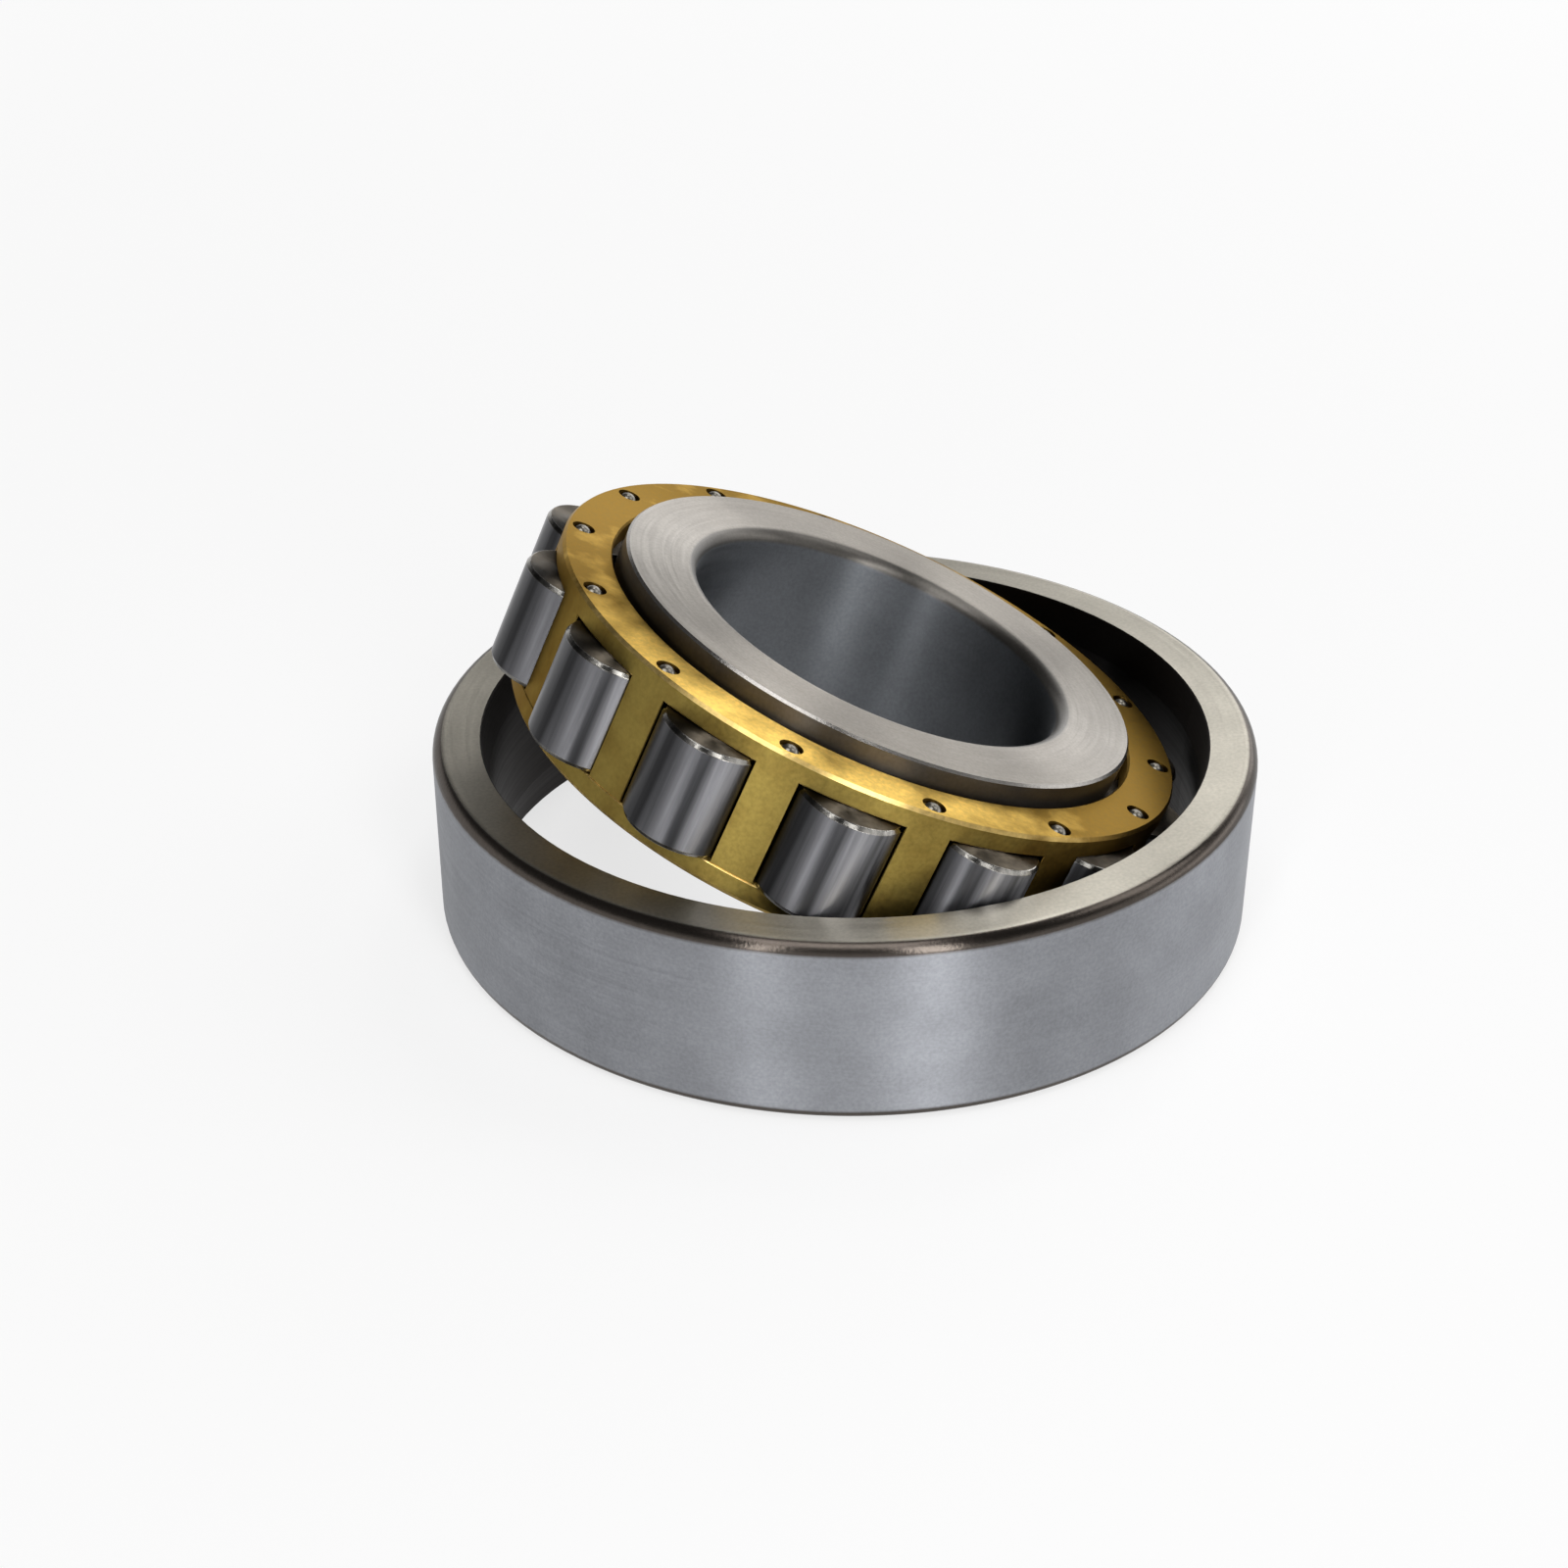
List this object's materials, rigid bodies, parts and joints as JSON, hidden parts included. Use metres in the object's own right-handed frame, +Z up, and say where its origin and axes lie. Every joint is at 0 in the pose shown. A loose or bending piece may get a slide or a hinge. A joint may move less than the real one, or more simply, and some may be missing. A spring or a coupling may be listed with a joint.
{
  "type": "cylindrical roller bearing",
  "caption": "Separable cylindrical roller bearing: plain outer ring, ribbed inner ring with rollers in a riveted brass cage, leaning inside it.",
  "frame": {"origin": "centre of the outer ring's lower side face, which lies on the bench", "axes": "+Z up along the outer ring's axis; the inner unit leans towards +X, low at +X and high at -X"},
  "size_m": [0.17, 0.17, 0.0813],
  "materials": {
    "ring_steel": "ground bearing steel, satin",
    "roller_steel": "superfinished bearing steel",
    "cage_brass": "turned and drilled brass, satin",
    "rivet_steel": "formed steel rivet"
  },
  "bodies": {
    "outer_ring": {"outer_ring": "ring_steel"},
    "inner_ring": {"inner_ring": "ring_steel"},
    "cage": {"cage_comb": "cage_brass", "cage_cover": "cage_brass", "cage_rivets": "rivet_steel"},
    "roller_01": {"roller_01": "roller_steel"},
    "roller_02": {"roller_02": "roller_steel"},
    "roller_03": {"roller_03": "roller_steel"},
    "roller_04": {"roller_04": "roller_steel"},
    "roller_05": {"roller_05": "roller_steel"},
    "roller_06": {"roller_06": "roller_steel"},
    "roller_07": {"roller_07": "roller_steel"},
    "roller_08": {"roller_08": "roller_steel"},
    "roller_09": {"roller_09": "roller_steel"},
    "roller_10": {"roller_10": "roller_steel"},
    "roller_11": {"roller_11": "roller_steel"},
    "roller_12": {"roller_12": "roller_steel"},
    "roller_13": {"roller_13": "roller_steel"},
    "roller_14": {"roller_14": "roller_steel"}
  },
  "joints": [
    {"name": "inner_unit_lift", "type": "slide", "parent": "outer_ring", "child": "inner_ring", "axis": [0, 0, 1], "range_m": [0, 0.045]},
    {"name": "cage_turn", "type": "hinge", "parent": "inner_ring", "child": "cage", "pos_m": [0, 0, 0.04091], "axis": [0.3871, 0, 0.922], "continuous": true},
    {"name": "roller_01_spin", "type": "hinge", "parent": "cage", "child": "roller_01", "pos_m": [0.05765, 0, 0.0167], "axis": [0.3871, 0, 0.922], "continuous": true},
    {"name": "roller_02_spin", "type": "hinge", "parent": "cage", "child": "roller_02", "pos_m": [0.05194, 0.02713, 0.0191], "axis": [0.3871, 0, 0.922], "continuous": true},
    {"name": "roller_03_spin", "type": "hinge", "parent": "cage", "child": "roller_03", "pos_m": [0.03594, 0.04888, 0.02582], "axis": [0.3871, 0, 0.922], "continuous": true},
    {"name": "roller_04_spin", "type": "hinge", "parent": "cage", "child": "roller_04", "pos_m": [0.01283, 0.06095, 0.03552], "axis": [0.3871, 0, 0.922], "continuous": true},
    {"name": "roller_05_spin", "type": "hinge", "parent": "cage", "child": "roller_05", "pos_m": [-0.01283, 0.06095, 0.04629], "axis": [0.3871, 0, 0.922], "continuous": true},
    {"name": "roller_06_spin", "type": "hinge", "parent": "cage", "child": "roller_06", "pos_m": [-0.03594, 0.04888, 0.056], "axis": [0.3871, 0, 0.922], "continuous": true},
    {"name": "roller_07_spin", "type": "hinge", "parent": "cage", "child": "roller_07", "pos_m": [-0.05194, 0.02713, 0.06271], "axis": [0.3871, 0, 0.922], "continuous": true},
    {"name": "roller_08_spin", "type": "hinge", "parent": "cage", "child": "roller_08", "pos_m": [-0.05765, 0, 0.06511], "axis": [0.3871, 0, 0.922], "continuous": true},
    {"name": "roller_09_spin", "type": "hinge", "parent": "cage", "child": "roller_09", "pos_m": [-0.05194, -0.02713, 0.06271], "axis": [0.3871, 0, 0.922], "continuous": true},
    {"name": "roller_10_spin", "type": "hinge", "parent": "cage", "child": "roller_10", "pos_m": [-0.03594, -0.04888, 0.056], "axis": [0.3871, 0, 0.922], "continuous": true},
    {"name": "roller_11_spin", "type": "hinge", "parent": "cage", "child": "roller_11", "pos_m": [-0.01283, -0.06095, 0.04629], "axis": [0.3871, 0, 0.922], "continuous": true},
    {"name": "roller_12_spin", "type": "hinge", "parent": "cage", "child": "roller_12", "pos_m": [0.01283, -0.06095, 0.03552], "axis": [0.3871, 0, 0.922], "continuous": true},
    {"name": "roller_13_spin", "type": "hinge", "parent": "cage", "child": "roller_13", "pos_m": [0.03594, -0.04888, 0.02582], "axis": [0.3871, 0, 0.922], "continuous": true},
    {"name": "roller_14_spin", "type": "hinge", "parent": "cage", "child": "roller_14", "pos_m": [0.05194, -0.02713, 0.0191], "axis": [0.3871, 0, 0.922], "continuous": true}
  ],
  "couplings": [
    {"joint": "roller_01_spin", "follows": "cage_turn", "ratio": 4.6818},
    {"joint": "roller_02_spin", "follows": "cage_turn", "ratio": 4.6818},
    {"joint": "roller_03_spin", "follows": "cage_turn", "ratio": 4.6818},
    {"joint": "roller_04_spin", "follows": "cage_turn", "ratio": 4.6818},
    {"joint": "roller_05_spin", "follows": "cage_turn", "ratio": 4.6818},
    {"joint": "roller_06_spin", "follows": "cage_turn", "ratio": 4.6818},
    {"joint": "roller_07_spin", "follows": "cage_turn", "ratio": 4.6818},
    {"joint": "roller_08_spin", "follows": "cage_turn", "ratio": 4.6818},
    {"joint": "roller_09_spin", "follows": "cage_turn", "ratio": 4.6818},
    {"joint": "roller_10_spin", "follows": "cage_turn", "ratio": 4.6818},
    {"joint": "roller_11_spin", "follows": "cage_turn", "ratio": 4.6818},
    {"joint": "roller_12_spin", "follows": "cage_turn", "ratio": 4.6818},
    {"joint": "roller_13_spin", "follows": "cage_turn", "ratio": 4.6818},
    {"joint": "roller_14_spin", "follows": "cage_turn", "ratio": 4.6818}
  ]
}
